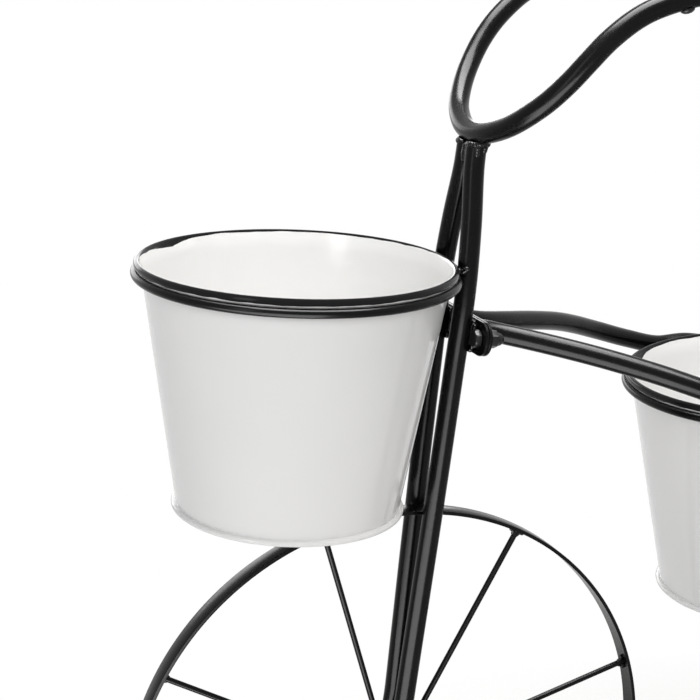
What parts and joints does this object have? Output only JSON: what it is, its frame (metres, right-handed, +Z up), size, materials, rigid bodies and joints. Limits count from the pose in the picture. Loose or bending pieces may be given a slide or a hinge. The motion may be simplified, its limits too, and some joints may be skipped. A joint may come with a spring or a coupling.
{
  "type": "bicycle plant stand",
  "caption": "Tricycle-shaped plant stand: bent tube frame, raked fork with curved handlebar, spoked wheels, and lift-out tapered pots hung in hoops.",
  "frame": {"origin": "on the floor, at the middle of the bounding box seen from above", "axes": "+Z up, +X from the front wheel towards the rear wheels, +Y towards the rider's right-hand side"},
  "size_m": [0.8734, 0.29, 0.6902],
  "materials": {
    "frame_paint": "gloss black powder coat",
    "pot_enamel": "gloss white enamel",
    "bar_end_plastic": "moulded black",
    "dark_fastener": "black coated steel"
  },
  "bodies": {
    "frame": {"bar_plug_left": "bar_end_plastic", "bar_plug_right": "bar_end_plastic", "bar_screw_left": "dark_fastener", "bar_screw_right": "dark_fastener", "cross_brace": "frame_paint", "fork_leg_left": "frame_paint", "fork_leg_right": "frame_paint", "fork_plate": "frame_paint", "frame_plate": "frame_paint", "frame_tube_left": "frame_paint", "frame_tube_right": "frame_paint", "front_axle_bolt": "dark_fastener", "front_axle_nut": "dark_fastener", "front_hoop": "frame_paint", "handlebar": "frame_paint", "joint_bolt_left": "dark_fastener", "joint_bolt_right": "dark_fastener", "joint_nut_left": "dark_fastener", "joint_nut_right": "dark_fastener", "joint_washer_left": "dark_fastener", "joint_washer_right": "dark_fastener", "middle_hoop": "frame_paint", "rear_axle": "dark_fastener", "rear_axle_nut_left": "dark_fastener", "rear_axle_nut_right": "dark_fastener", "rear_hoop": "frame_paint", "rear_spacer_left": "dark_fastener", "rear_spacer_right": "dark_fastener"},
    "front_wheel": {"front_hub": "frame_paint", "front_rim": "frame_paint", "front_spoke_1": "frame_paint", "front_spoke_2": "frame_paint", "front_spoke_3": "frame_paint", "front_spoke_4": "frame_paint", "front_spoke_5": "frame_paint", "front_spoke_6": "frame_paint", "front_spoke_7": "frame_paint", "front_spoke_8": "frame_paint"},
    "rear_wheel_left": {"rear_rim_left": "frame_paint", "rear_spokes_left": "frame_paint"},
    "rear_wheel_right": {"rear_rim_right": "frame_paint", "rear_spokes_right": "frame_paint"},
    "front_pot": {"front_pot_body": "pot_enamel", "front_pot_base": "pot_enamel"},
    "middle_pot": {"middle_pot_body": "pot_enamel", "middle_pot_base": "pot_enamel"},
    "rear_pot": {"rear_pot_body": "pot_enamel", "rear_pot_base": "pot_enamel"}
  },
  "joints": [
    {"name": "front_wheel_spin", "type": "hinge", "parent": "frame", "child": "front_wheel", "pos_m": [-0.25815, 0, 0.1785], "axis": [0, 1, 0], "continuous": true},
    {"name": "rear_wheel_left_spin", "type": "hinge", "parent": "frame", "child": "rear_wheel_left", "pos_m": [0.31665, -0.1237, 0.12], "axis": [0, 1, 0], "continuous": true},
    {"name": "rear_wheel_right_spin", "type": "hinge", "parent": "frame", "child": "rear_wheel_right", "pos_m": [0.31665, 0.1237, 0.12], "axis": [0, 1, 0], "continuous": true},
    {"name": "front_pot_lift", "type": "slide", "parent": "frame", "child": "front_pot", "axis": [0.0192, 0, 0.9998], "range_m": [0, 0.165]},
    {"name": "middle_pot_lift", "type": "slide", "parent": "frame", "child": "middle_pot", "axis": [-0.0506, 0, 0.9987], "range_m": [0, 0.165]},
    {"name": "rear_pot_lift", "type": "slide", "parent": "frame", "child": "rear_pot", "axis": [0, 0, 1], "range_m": [0, 0.165]}
  ]
}
